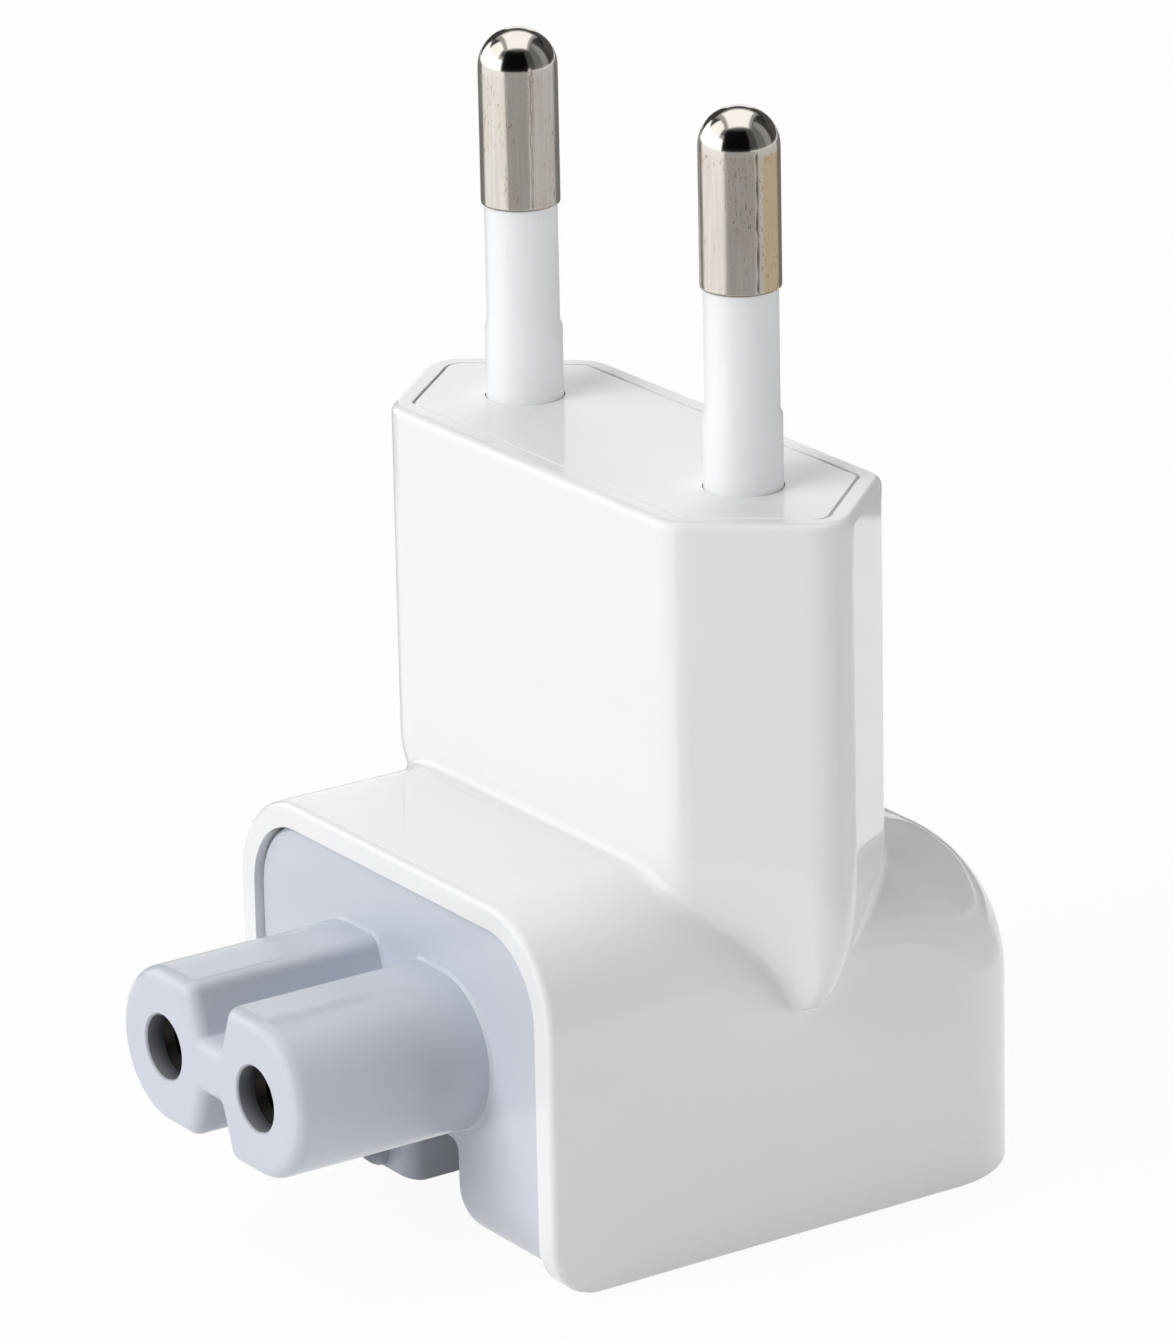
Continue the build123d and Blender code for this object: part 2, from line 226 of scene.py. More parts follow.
def glossy_white_polycarbonate(base):
    """Polycarbonate from a polished mould: bright white, sharp gloss, and faint waves from shrinkage."""
    material, tree, output = new_material("glossy_white_polycarbonate")
    place = add_node(tree, "ShaderNodeTexCoord").outputs["Object"]
    # Shrinkage waves about 7 mm long, and handling haze in patches of about 4 mm
    waves = add_node(tree, "ShaderNodeTexNoise", {"Vector": place, "Scale": 1 / (7 * MM), "Detail": 1.0})
    haze = add_node(tree, "ShaderNodeTexNoise", {"Vector": place, "Scale": 1 / (4 * MM), "Detail": 4.0})
    gloss = add_node(
        tree,
        "ShaderNodeMapRange",
        {"Value": haze.outputs["Fac"], "From Min": 0.3, "From Max": 0.7, "To Min": 0.045, "To Max": 0.09},
    )
    tone = add_node(
        tree,
        "ShaderNodeMix",
        {"Factor": waves.outputs["Fac"], "A": (*base, 1), "B": (*(0.985 * np.array(base)), 1)},
        data_type="RGBA",
    )
    bump = add_node(
        tree, "ShaderNodeBump", {"Height": waves.outputs["Fac"], "Strength": 0.25, "Distance": 0.03 * MM}
    )
    surface = add_node(
        tree,
        "ShaderNodeBsdfPrincipled",
        {
            "Base Color": tone.outputs["Result"],
            "Roughness": gloss.outputs["Result"],
            "IOR": 1.585,
            "Normal": bump.outputs["Normal"],
        },
    )
    tree.links.new(surface.outputs["BSDF"], output.inputs["Surface"])
    return material


def smooth_white_polyamide(base):
    """Polyamide moulded on the pin: white, with a softer gloss and faint lengthwise drag marks."""
    material, tree, output = new_material("smooth_white_polyamide")
    place = add_node(tree, "ShaderNodeTexCoord").outputs["Object"]
    # Drag marks 0.3 mm apart and about 6 mm long
    drawn = add_node(tree, "ShaderNodeMapping", {"Vector": place, "Scale": (1, 1, 0.05)})
    marks = add_node(
        tree,
        "ShaderNodeTexNoise",
        {"Vector": drawn.outputs["Vector"], "Scale": 1 / (0.3 * MM), "Detail": 2.0},
    )
    gloss = add_node(
        tree, "ShaderNodeMapRange", {"Value": marks.outputs["Fac"], "To Min": 0.24, "To Max": 0.36}
    )
    bump = add_node(
        tree, "ShaderNodeBump", {"Height": marks.outputs["Fac"], "Strength": 0.1, "Distance": 0.01 * MM}
    )
    surface = add_node(
        tree,
        "ShaderNodeBsdfPrincipled",
        {
            "Base Color": (*base, 1),
            "Roughness": gloss.outputs["Result"],
            "IOR": 1.53,
            "Normal": bump.outputs["Normal"],
        },
    )
    tree.links.new(surface.outputs["BSDF"], output.inputs["Surface"])
    return material


def satin_grey_abs(base, bore_shade, bore, bore_radius):
    """ABS from a finely blasted mould: cool grey with a broad satin highlight. The nose's bores get a painted
    shade: a dark colour on their walls, growing over the first 0.9 mm of depth, stands in for the shade deep
    in the holes. The middle of the right bore on the face is given, and the left bore mirrors it."""
    material, tree, output = new_material("satin_grey_abs")
    place = add_node(tree, "ShaderNodeTexCoord").outputs["Object"]
    # Share of painted shade in the bores: from the distance to a bore's axis, and growing over the first 0.9
    # mm of depth
    facing = add_node(tree, "ShaderNodeVectorMath", {0: place, 1: (1, 0, 1)}, operation="MULTIPLY")
    mirrored = add_node(
        tree, "ShaderNodeVectorMath", {0: facing.outputs["Vector"]}, operation="ABSOLUTE"
    )
    from_axis = add_node(
        tree,
        "ShaderNodeVectorMath",
        {0: mirrored.outputs["Vector"], 1: (bore.x, 0, bore.z)},
        operation="DISTANCE",
    )
    inside = add_node(
        tree,
        "ShaderNodeMapRange",
        {
            "Value": from_axis.outputs["Value"],
            "From Min": bore_radius + 0.02 * MM,
            "From Max": bore_radius + 0.1 * MM,
            "To Min": 1.0,
            "To Max": 0.0,
        },
    )
    depth = add_node(tree, "ShaderNodeSeparateXYZ", {"Vector": place}).outputs["Y"]
    painted_depth_shade = add_node(
        tree,
        "ShaderNodeMapRange",
        {
            "Value": depth,
            "From Min": bore.y,
            "From Max": bore.y + 0.9 * MM,
            "To Min": 0.55,
            "To Max": 1.0,
        },
    )
    # Painted shade: its share in the bores, the mask inside a bore times the darkening with depth
    rubbed = add_node(
        tree,
        "ShaderNodeMath",
        {0: inside.outputs["Result"], 1: painted_depth_shade.outputs["Result"]},
        operation="MULTIPLY",
    )
    # Mould grain of 0.12 mm, drawn a little coarser than real so that it shows, and flow shading of 6 mm
    grain = add_node(
        tree, "ShaderNodeTexNoise", {"Vector": place, "Scale": 1 / (0.12 * MM), "Detail": 2.0}
    )
    flow = add_node(tree, "ShaderNodeTexNoise", {"Vector": place, "Scale": 1 / (6 * MM), "Detail": 2.0})
    flow_tone = add_node(
        tree,
        "ShaderNodeMix",
        {"Factor": flow.outputs["Fac"], "A": (*base, 1), "B": (*(0.965 * np.array(base)), 1)},
        data_type="RGBA",
    )
    # Painted shade: the dark bore colour laid over the grey
    tone = add_node(
        tree,
        "ShaderNodeMix",
        {"Factor": rubbed.outputs["Value"], "A": flow_tone.outputs["Result"], "B": (*bore_shade, 1)},
        data_type="RGBA",
    )
    gloss = add_node(
        tree, "ShaderNodeMapRange", {"Value": flow.outputs["Fac"], "To Min": 0.17, "To Max": 0.25}
    )
    bump = add_node(
        tree, "ShaderNodeBump", {"Height": grain.outputs["Fac"], "Strength": 0.12, "Distance": 0.008 * MM}
    )
    surface = add_node(
        tree,
        "ShaderNodeBsdfPrincipled",
        {
            "Base Color": tone.outputs["Result"],
            "Roughness": gloss.outputs["Result"],
            "IOR": 1.53,
            "Normal": bump.outputs["Normal"],
        },
    )
    tree.links.new(surface.outputs["BSDF"], output.inputs["Surface"])
    return material


def rubbed_nickel_plate(base, stain, pit, foot, dome_foot, worn_side, worn_reach):
    """Nickel plate on turned brass: a mirror on the rounded tip, and below it satin from rubbing in sockets,
    with lengthwise drag marks, clusters of dark pits, dirt in the score line, and a warm tone where the
    plate is thin: in patches and down the pins' outer sides."""
    material, tree, output = new_material("rubbed_nickel_plate")
    place = add_node(tree, "ShaderNodeTexCoord").outputs["Object"]
    height = add_node(tree, "ShaderNodeSeparateXYZ", {"Vector": place}).outputs["Z"]
    # Drag marks 0.2 mm apart and 4 mm long, worn patches of 1.2 by 3 mm, pits of 0.1 by 0.3 mm
    drawn = add_node(tree, "ShaderNodeMapping", {"Vector": place, "Scale": (1, 1, 0.05)})
    long_patch = add_node(tree, "ShaderNodeMapping", {"Vector": place, "Scale": (1, 1, 0.4)})
    drag = add_node(
        tree,
        "ShaderNodeTexNoise",
        {"Vector": drawn.outputs["Vector"], "Scale": 1 / (0.2 * MM), "Detail": 3.0},
    )
    patches = add_node(
        tree,
        "ShaderNodeTexNoise",
        {"Vector": long_patch.outputs["Vector"], "Scale": 1 / (1.2 * MM), "Detail": 3.0},
    )
    long_pit = add_node(tree, "ShaderNodeMapping", {"Vector": place, "Scale": (1, 1, 0.3)})
    pits = add_node(
        tree,
        "ShaderNodeTexNoise",
        {"Vector": long_pit.outputs["Vector"], "Scale": 1 / (0.1 * MM), "Detail": 2.0, "Roughness": 0.6},
    )
    # Line where the mirror of the tip ends, made uneven by the drag marks
    ragged = add_node(
        tree, "ShaderNodeMath", {0: drag.outputs["Fac"], 1: 0.4 * MM, 2: height}, operation="MULTIPLY_ADD"
    )
    below = add_node(
        tree,
        "ShaderNodeMapRange",
        {
            "Value": ragged.outputs["Value"],
            "From Min": dome_foot + 0.1 * MM,
            "From Max": dome_foot + 0.16 * MM,
            "To Min": 1.0,
            "To Max": 0.0,
        },
    )
    # Warm patches where the plate is thin
    worn = add_node(
        tree,
        "ShaderNodeMapRange",
        {"Value": patches.outputs["Fac"], "From Min": 0.5, "From Max": 0.72, "To Max": 0.3},
    )
    # Warm band: the left pin is mirrored on to the right one, and the band starts at a reach to the worn side
    outwards = add_node(tree, "ShaderNodeVectorMath", {0: place}, operation="ABSOLUTE")
    along_side = add_node(
        tree,
        "ShaderNodeVectorMath",
        {0: outwards.outputs["Vector"], 1: worn_side},
        operation="DOT_PRODUCT",
    )
    outer_band = add_node(
        tree,
        "ShaderNodeMapRange",
        {
            "Value": along_side.outputs["Value"],
            "From Min": worn_reach,
            "From Max": worn_reach + 0.05 * MM,
            "To Max": 0.8,
        },
    )
    # Pit colour in a band at the foot of the bare end, gone 0.16 mm higher up
    low_edge = add_node(
        tree,
        "ShaderNodeMapRange",
        {
            "Value": height,
            "From Min": foot + 0.06 * MM,
            "From Max": foot + 0.16 * MM,
            "To Min": 0.9,
            "To Max": 0.0,
        },
    )
    warm = add_node(
        tree,
        "ShaderNodeMath",
        {0: worn.outputs["Result"], 1: outer_band.outputs["Result"]},
        operation="MAXIMUM",
    )
    warm_below = add_node(
        tree,
        "ShaderNodeMath",
        {0: warm.outputs["Value"], 1: below.outputs["Result"]},
        operation="MULTIPLY",
    )
    # Pits: the deepest spots of the fine noise, where the patches crowd them, and dirt in the score line
    deep = add_node(
        tree, "ShaderNodeMapRange", {"Value": pits.outputs["Fac"], "From Min": 0.6, "From Max": 0.7}
    )
    crowded = add_node(
        tree,
        "ShaderNodeMapRange",
        {"Value": patches.outputs["Fac"], "From Min": 0.44, "From Max": 0.62, "To Max": 0.8},
    )
    clustered = add_node(
        tree,
        "ShaderNodeMath",
        {0: deep.outputs["Result"], 1: crowded.outputs["Result"]},
        operation="MULTIPLY",
    )
    pitted_below = add_node(
        tree,
        "ShaderNodeMath",
        {0: clustered.outputs["Value"], 1: below.outputs["Result"]},
        operation="MULTIPLY",
    )
    dirt = add_node(tree, "ShaderNodeAttribute", attribute_name="dirt")
    filled = add_node(
        tree,
        "ShaderNodeMath",
        {0: low_edge.outputs["Result"], 1: dirt.outputs["Fac"]},
        operation="MAXIMUM",
    )
    pitted = add_node(
        tree,
        "ShaderNodeMath",
        {0: pitted_below.outputs["Value"], 1: filled.outputs["Value"]},
        operation="MAXIMUM",
    )
    # Colour: drag marks, then the warm tone, then the pits and dirt over it
    streak = add_node(
        tree, "ShaderNodeMapRange", {"Value": drag.outputs["Fac"], "From Min": 0.35, "From Max": 0.65}
    )
    drag_tone = add_node(
        tree,
        "ShaderNodeMix",
        {"Factor": streak.outputs["Result"], "A": (*(0.9 * np.array(base)), 1), "B": (*base, 1)},
        data_type="RGBA",
    )
    rubbed_tone = add_node(
        tree,
        "ShaderNodeMix",
        {"Factor": below.outputs["Result"], "A": (*base, 1), "B": drag_tone.outputs["Result"]},
        data_type="RGBA",
    )
    plate_tone = add_node(
        tree,
        "ShaderNodeMix",
        {"Factor": warm_below.outputs["Value"], "A": rubbed_tone.outputs["Result"], "B": (*stain, 1)},
        data_type="RGBA",
    )
    tone = add_node(
        tree,
        "ShaderNodeMix",
        {"Factor": pitted.outputs["Value"], "A": plate_tone.outputs["Result"], "B": (*pit, 1)},
        data_type="RGBA",
    )
    satin = add_node(
        tree, "ShaderNodeMapRange", {"Value": drag.outputs["Fac"], "To Min": 0.12, "To Max": 0.26}
    )
    gloss = add_node(
        tree,
        "ShaderNodeMix",
        {"Factor": below.outputs["Result"], "A": 0.13, "B": satin.outputs["Result"]},
    )
    rubbed = add_node(
        tree,
        "ShaderNodeMath",
        {0: drag.outputs["Fac"], 1: pitted.outputs["Value"]},
        operation="SUBTRACT",
    )
    relief = add_node(
        tree,
        "ShaderNodeMath",
        {0: rubbed.outputs["Value"], 1: below.outputs["Result"]},
        operation="MULTIPLY",
    )
    bump = add_node(
        tree,
        "ShaderNodeBump",
        {"Height": relief.outputs["Value"], "Strength": 0.4, "Distance": 0.012 * MM},
    )
    surface = add_node(
        tree,
        "ShaderNodeBsdfPrincipled",
        {
            "Base Color": tone.outputs["Result"],
            "Metallic": 1.0,
            "Roughness": gloss.outputs["Result"],
            "Normal": bump.outputs["Normal"],
        },
    )
    tree.links.new(surface.outputs["BSDF"], output.inputs["Surface"])
    return material


def plain_metal(name, base, rough, grain_mm):
    """Rolled or formed strip metal: satin, with a fine grain in its gloss."""
    material, tree, output = new_material(name)
    place = add_node(tree, "ShaderNodeTexCoord").outputs["Object"]
    grain = add_node(
        tree, "ShaderNodeTexNoise", {"Vector": place, "Scale": 1 / (grain_mm * MM), "Detail": 3.0}
    )
    gloss = add_node(
        tree,
        "ShaderNodeMapRange",
        {"Value": grain.outputs["Fac"], "To Min": rough - 0.08, "To Max": rough + 0.08},
    )
    surface = add_node(
        tree,
        "ShaderNodeBsdfPrincipled",
        {"Base Color": (*base, 1), "Metallic": 1.0, "Roughness": gloss.outputs["Result"]},
    )
    tree.links.new(surface.outputs["BSDF"], output.inputs["Surface"])
    return material


def arc(centre, radius, start, end, count):
    """Points of an arc about a centre, from a start to an end angle in degrees."""
    turn = np.radians(np.linspace(start, end, count))
    return np.asarray(centre) + radius * np.stack([np.cos(turn), np.sin(turn)], axis=1)


def new_piece(name, points, faces, material, dirt=None):
    """Mesh object of some points and faces, with doubles merged, faces turned outwards and soft shading.
    Dirt is kept for each point as an attribute."""
    mesh = bpy.data.meshes.new(name)
    mesh.from_pydata(points.tolist(), [], faces.tolist())
    if dirt is not None:
        mesh.attributes.new("dirt", "FLOAT", "POINT").data.foreach_set("value", dirt.ravel())
    built = bmesh.new()
    built.from_mesh(mesh)
    bmesh.ops.remove_doubles(built, verts=built.verts, dist=MERGE_REACH)
    bmesh.ops.recalc_face_normals(built, faces=built.faces)
    built.to_mesh(mesh)
    built.free()
    mesh.shade_smooth()
    mesh.set_sharp_from_angle(angle=SHARP_EDGE)
    piece = bpy.data.objects.new(name, mesh)
    bpy.context.scene.collection.objects.link(piece)
    piece.data.materials.append(material)
    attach(piece, "root")
    return piece


def grid_faces(rows, columns, wrap_rows=False, wrap_columns=False):
    """Four-cornered faces of a grid of points, wrapped round where it closes on itself."""
    row, column = np.meshgrid(
        np.arange(rows if wrap_rows else rows - 1),
        np.arange(columns if wrap_columns else columns - 1),
        indexing="ij",
    )
    down = (row + 1) % rows
    right = (column + 1) % columns
    upper = (row * columns + column, row * columns + right)
    lower = (down * columns + right, down * columns + column)
    return np.stack([corner.ravel() for corner in upper + lower], axis=1)


def turned(name, profile, centre, material, closed=False):
    """Surface of revolution: each (radius, height) of a profile is carried round an upright axis.
    Point(u, v) = (x + r(v) cos u, y + r(v) sin u, z(v)); an end on the axis closes to one point."""
    radius, height = np.asarray(profile).T
    turn = np.linspace(0, 2 * pi, TURN_STEPS, endpoint=False)
    return carried_round(name, radius[:, None] + 0 * turn, height, turn, centre, material, closed)


def carried_round(name, radius, height, turn, centre, material, closed=False, dirt=None):
    """Grid of points at a radius for each height and turn about an upright axis, as one mesh."""
    x = centre.x + radius * np.cos(turn)
    y = centre.y + radius * np.sin(turn)
    z = np.repeat(height[:, None], len(turn), axis=1)
    points = np.stack([x, y, z], axis=-1).reshape(-1, 3)
    faces = grid_faces(len(height), len(turn), closed, True)
    return new_piece(name, points, faces, material, dirt)


def scored_pin(name, profile, centre, material, score, dirt, depth, width, foot, dome_foot):
    """Turned pin with one line rubbed down its bare end.
    Radius(u, v) = r(v) - d(v) exp(-((u - s(v)) r / w)^2): the depth d and the place s of the line waver with
    height, and d is nought off the bare cylinder. Dirt fills the line in its share of the depth."""
    radius, height = np.asarray(profile).T
    bare = (height > foot) & (height <= dome_foot + MERGE_REACH)
    # The depth wavers by 0.3 of itself every 1.7 mm, and the place by 0.007 of a radian every 2.9 mm
    waver = depth * (0.7 + 0.3 * np.sin(2 * pi * height / (1.7 * MM))) * bare
    place = score + 0.007 * np.sin(2 * pi * height / (2.9 * MM))
    reach = radius.max()
    # Even steps round the pin, with finer ones across four widths to each side of the line
    near_line = score + np.linspace(-4, 4, 33) * width / reach
    evenly = np.linspace(0, 2 * pi, TURN_STEPS, endpoint=False)
    turn = np.unique(np.concatenate([evenly, near_line % (2 * pi)]))
    across = (turn - place[:, None] % (2 * pi)) * reach
    groove = waver[:, None] * np.exp(-((across / width) ** 2))
    fill = dirt * groove / depth
    scored = radius[:, None] - groove
    return carried_round(name, scored, height, turn, centre, material, dirt=fill)


def contact_lip(name, profile, centre, material):
    """Ring about an axis along Y: each (radius, y) of a closed profile is carried round it.
    Point(u, v) = (x + r(v) cos u, y(v), z + r(v) sin u)."""
    radius, depth = np.asarray(profile).T
    turn = np.linspace(0, 2 * pi, LIP_STEPS, endpoint=False)
    x = centre.x + radius[:, None] * np.cos(turn)
    z = centre.z + radius[:, None] * np.sin(turn)
    y = np.repeat(depth[:, None], len(turn), axis=1)
    points = np.stack([x, y, z], axis=-1).reshape(-1, 3)
    faces = grid_faces(len(depth), len(turn), True, True)
    return new_piece(name, points, faces, material)


def dress(node, material):
    """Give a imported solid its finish."""
    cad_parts[node].material_slots[0].material = material


def parting_line(name, tip, side, plastic, material):
    """Fine ridge up the rounded end of the plug. Point(u, v) lies round the end's axis at the radius
    r + h (1 + cos(pi u)) / 2 - h / 4, so that its edges dip into the plug, at the height v."""
    rounding = plastic.plug_round
    across = np.linspace(-1, 1, 13)
    height = np.array([plastic.seam_foot, tip.z])
    radius = rounding + plastic.seam_height * ((1 + np.cos(pi * across)) / 2 - 0.25)
    turn = across * plastic.seam_width / 2 / rounding
    x = side * (tip.x - rounding + radius * np.cos(turn))
    y = tip.y + radius * np.sin(turn)
    points = np.stack([np.tile(x, 2), np.tile(y, 2), np.repeat(height, len(across))], axis=1)
    return new_piece(name, points, grid_faces(2, len(across)), material)


class PLUGHEAD_OT_shell(bpy.types.Operator):
    """Finish the white housing and the plug's face plate, and add the parting lines on the plug's ends"""

    bl_idname = "plughead.shell"
    bl_label = "Shell"

    def execute(self, context):
        plastic = context.scene.plug_plastic
        white = glossy_white_polycarbonate(plastic.shell)
        dress("housing", white)
        dress("plug_face_plate", white)
        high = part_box("housing")[1]
        plate_low, plate_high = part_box("plug_face_plate")
        tip = Vector((high.x, (plate_low.y + plate_high.y) / 2, high.z - plastic.plug_edge))
        for name, side in zip(SIDES, (-1, 1)):
            parting_line(f"{name}_parting_line", tip, side, plastic, white)
        return {"FINISHED"}


class PLUGHEAD_OT_pins(bpy.types.Operator):
    """Turn the pins and mould their sleeves"""

    bl_idname = "plughead.pins"
    bl_label = "Pins and sleeves"

    def execute(self, context):
        metal = context.scene.plug_metal
        plastic = context.scene.plug_plastic
        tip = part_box("left_pin")[1].z
        dome_foot = tip - metal.pin_radius
        foot = tip - metal.metal_length
        low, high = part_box("right_pin")
        worn_side = Vector((cos(metal.worn_turn), sin(metal.worn_turn), 0))
        worn_reach = worn_side.dot((low + high) / 2) + metal.worn_start * metal.pin_radius
        nickel = rubbed_nickel_plate(
            metal.nickel, metal.stain, metal.pit, foot, dome_foot, worn_side, worn_reach
        )
        polyamide = smooth_white_polyamide(plastic.sleeve)
        plate_low, plate_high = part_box("plug_face_plate")
        edge = metal.pin_edge
        bare = np.linspace(foot + 2 * edge, dome_foot - edge, 60)
        for side in SIDES:
            low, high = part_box(f"{side}_pin")
            strip_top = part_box(f"{side}_bus_strip")[1].z
            sleeve_low, sleeve_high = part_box(f"{side}_pin_sleeve")
            centre = (low + high) / 2
            flange = (high.x - low.x) / 2
            rivet_top = low.z + metal.rivet_height
            # Rivet head, tail, flange under the plate, core in the sleeve, bare end and rounded tip
            profile = np.vstack(
                [
                    [(0, low.z), (metal.rivet_radius - edge, low.z)],
                    arc((metal.rivet_radius - edge, low.z + edge), edge, -90, 0, 7),
                    [(metal.rivet_radius, rivet_top), (metal.tail_radius, rivet_top)],
                    [(metal.tail_radius, strip_top), (flange, strip_top), (flange, plate_low.z)],
                    [(metal.core_radius, plate_low.z), (metal.core_radius, foot)],
                    arc((metal.pin_radius - edge, foot + edge), edge, -90, 0, 7),
                    np.stack([0 * bare + metal.pin_radius, bare], axis=1),
                    arc((0, dome_foot), metal.pin_radius, 0, 90, 33),
                ]
            )
            pin = scored_pin(
                f"{side}_pin_metal",
                profile,
                centre,
                nickel,
                getattr(metal, f"{side}_score"),
                getattr(metal, f"{side}_dirt"),
                metal.score_depth,
                metal.score_width,
                foot + edge,
                dome_foot,
            )
            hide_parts(f"{side}_pin")

            collar = (sleeve_high.x - sleeve_low.x) / 2
            collar_top = plate_high.z + plastic.collar_height
            slope_foot = collar_top - plastic.collar_slope
            inner = metal.core_radius + plastic.sleeve_gap
            profile = np.vstack(
                [
                    [(inner, sleeve_low.z), (collar, sleeve_low.z), (collar, slope_foot)],
                    [(plastic.sleeve_radius, collar_top), (plastic.sleeve_radius, sleeve_high.z)],
                    [(inner, sleeve_high.z)],
                ]
            )
            sleeve = turned(f"{side}_sleeve", profile, centre, polyamide, closed=True)
            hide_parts(f"{side}_pin_sleeve")
        return {"FINISHED"}


class PLUGHEAD_OT_insert(bpy.types.Operator):
    """Finish the grey connector moulding"""

    bl_idname = "plughead.insert"
    bl_label = "Connector insert"

    def execute(self, context):
        plastic = context.scene.plug_plastic
        low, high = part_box("right_contact_socket")
        bore = (low + high) / 2
        bore.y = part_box("connector_insert")[0].y
        dress("connector_insert", satin_grey_abs(plastic.insert, plastic.bore_shade, bore, plastic.nose_bore))
        return {"FINISHED"}


class PLUGHEAD_OT_contacts(bpy.types.Operator):
    """Finish the contact sockets and bus strips, and add the lips at the mouths of the contacts"""

    bl_idname = "plughead.contacts"
    bl_label = "Contacts"

    def execute(self, context):
        metal = context.scene.plug_metal
        # Sockets and lips take a near-black metal: painted shade for the dark deep in the nose's holes
        shade_dark_contact_metal = plain_metal("tarnished_contact_bronze", metal.contact, rough=0.45, grain_mm=0.3)
        brass = plain_metal("rolled_brass", metal.brass, rough=0.35, grain_mm=0.5)
        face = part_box("connector_insert")[0].y
        for side in SIDES:
            dress(f"{side}_contact_socket", shade_dark_contact_metal)
            dress(f"{side}_bus_strip", brass)
            low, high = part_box(f"{side}_contact_socket")
            # The lip starts behind the nose's face, narrows to the bore and ends just before the socket
            front = face + metal.lip_recess
            back = low.y - 0.01 * MM
            rim = metal.lip_radius - metal.lip_rim
            funnel = [(rim, front), (metal.bore_radius, back)]
            profile = [(metal.lip_radius, front), *funnel, (metal.lip_radius, back)]
            contact_lip(f"{side}_contact_lip", profile, (low + high) / 2, shade_dark_contact_metal)
        return {"FINISHED"}


def seen_or_mirrored(tree):
    """One for rays from the camera and for rays that gloss or glass sends on, else nought."""
    path = add_node(tree, "ShaderNodeLightPath").outputs
    seen = add_node(
        tree,
        "ShaderNodeMath",
        {0: path["Is Camera Ray"], 1: path["Is Glossy Ray"]},
        operation="MAXIMUM",
    )
    clear = add_node(
        tree,
        "ShaderNodeMath",
        {0: seen.outputs["Value"], 1: path["Is Transmission Ray"]},
        operation="MAXIMUM",
    )
    return clear.outputs["Value"]


def pale_floor(base, white):
    """White paper sweep: seen and mirrored as white, with the plug's soft shadow left on it."""
    material, tree, output = new_material("white_paper_sweep")
    part = add_node(tree, "ShaderNodeMath", {0: seen_or_mirrored(tree), 1: white}, operation="MULTIPLY")
    paper = add_node(tree, "ShaderNodeBsdfDiffuse", {"Color": (*base, 1)})
    glow = add_node(tree, "ShaderNodeEmission", {"Color": (1, 1, 1, 1), "Strength": 1.0})
    mixed = add_node(tree, "ShaderNodeMixShader", {0: part.outputs["Value"], 1: paper.outputs["BSDF"]})
    tree.links.new(glow.outputs["Emission"], mixed.inputs[2])
    tree.links.new(mixed.outputs["Shader"], output.inputs["Surface"])
    return material


def white_world(strength):
    """World that is white to the eye and in reflections, and an even sky for the rest."""
    world = bpy.data.worlds.new("white_world")
    world.use_nodes = True
    tree = world.node_tree
    tree.nodes.clear()
    level = add_node(
        tree, "ShaderNodeMapRange", {"Value": seen_or_mirrored(tree), "To Min": strength, "To Max": 1.0}
    )
    sky = add_node(
        tree, "ShaderNodeBackground", {"Color": (1, 1, 1, 1), "Strength": level.outputs["Result"]}
    )
    add_node(tree, "ShaderNodeOutputWorld", {"Surface": sky.outputs["Background"]})
    return world


# Soft boxes: property that holds the power, place, and width and height in metres
SOFT_BOXES = {
    "key_soft_box": ("key_power", (-0.12, -0.44, 0.66), (0.5, 0.5)),
    "front_soft_box": ("front_power", (0.05, -0.7, 0.4), (0.5, 0.5)),
    "fill_soft_box": ("fill_power", (0.55, 0.55, 0.15), (0.5, 0.25)),
    "rear_soft_box": ("rear_power", (-0.6, 0.55, 0.2), (0.5, 0.4)),
    "overhead_soft_box": ("overhead_power", (-0.19, 0.13, 0.58), (0.28, 0.33)),
}
# Cards that only gloss sees, as black, grey and white card in a studio: turn from the camera and lift in
# degrees, share of the cards' distance, and brightness
CARDS = {
    "hood": ((0, 360), (56, 90), 1.0, 0.08),
    "camera_flag": ((-50, 31), (-2, 57), 0.98, 0.002),
    "rear_flag": ((120, 240), (28, 57), 0.98, 0.03),
    "near_right_screen": ((31, 52), (0, 57), 0.98, 0.07),
    "right_screen": ((52, 78), (0, 57), 0.98, 0.16),
    "far_right_screen": ((78, 102), (0, 57), 0.98, 0.3),
    "far_right_flag": ((102, 120), (0, 57), 0.98, 0.05),
    "left_window": ((-140, -50), (0, 27), 0.98, 1.7),
    "upper_left_window": ((-118, -66), (27, 57), 0.97, 1.2),
    "left_window_edge": ((-140, -50), (27, 36), 0.98, 0.45),
    "left_flag": ((-140, -50), (36, 57), 0.98, 0.1),
    "left_rear_flag": ((-170, -140), (0, 57), 0.98, 0.05),
    "right_rear_flag": ((120, 165), (0, 28), 0.98, 0.08),
}
# Window over the plug and the soft edge round it: lean from the camera's side over the top and spread to
# the sides in degrees, share of the cards' distance, and brightness
OVERHEAD_CARDS = {
    "overhead_window": ((68, 132), (-24, 24), 0.9, 1.15),
    "overhead_edge": ((65, 139), (-33, 30), 0.94, 0.36),
}
# Grey cards on the floor: turn from the camera in degrees, nearest and furthest edge, and brightness
FLOOR_CARDS = {
    "front_floor_card": ((-40, 46), (60 * MM, 720 * MM), 0.38),
    "right_floor_card": ((46, 125), (60 * MM, 720 * MM), 0.55),
    "near_right_floor_end": ((160, 178), (28 * MM, 115 * MM), 0.45),
    "near_left_floor_end": ((-178, -140), (28 * MM, 115 * MM), 0.45),
    "right_floor_end": ((125, 168), (115 * MM, 720 * MM), 0.2),
    "left_floor_end": ((-168, -125), (115 * MM, 720 * MM), 0.2),
}


def flat_grey(name, level):
    """Studio card of one even brightness."""
    material, tree, output = new_material(name)
    glow = add_node(tree, "ShaderNodeEmission", {"Color": (1, 1, 1, 1), "Strength": level})
    tree.links.new(glow.outputs["Emission"], output.inputs["Surface"])
    return material


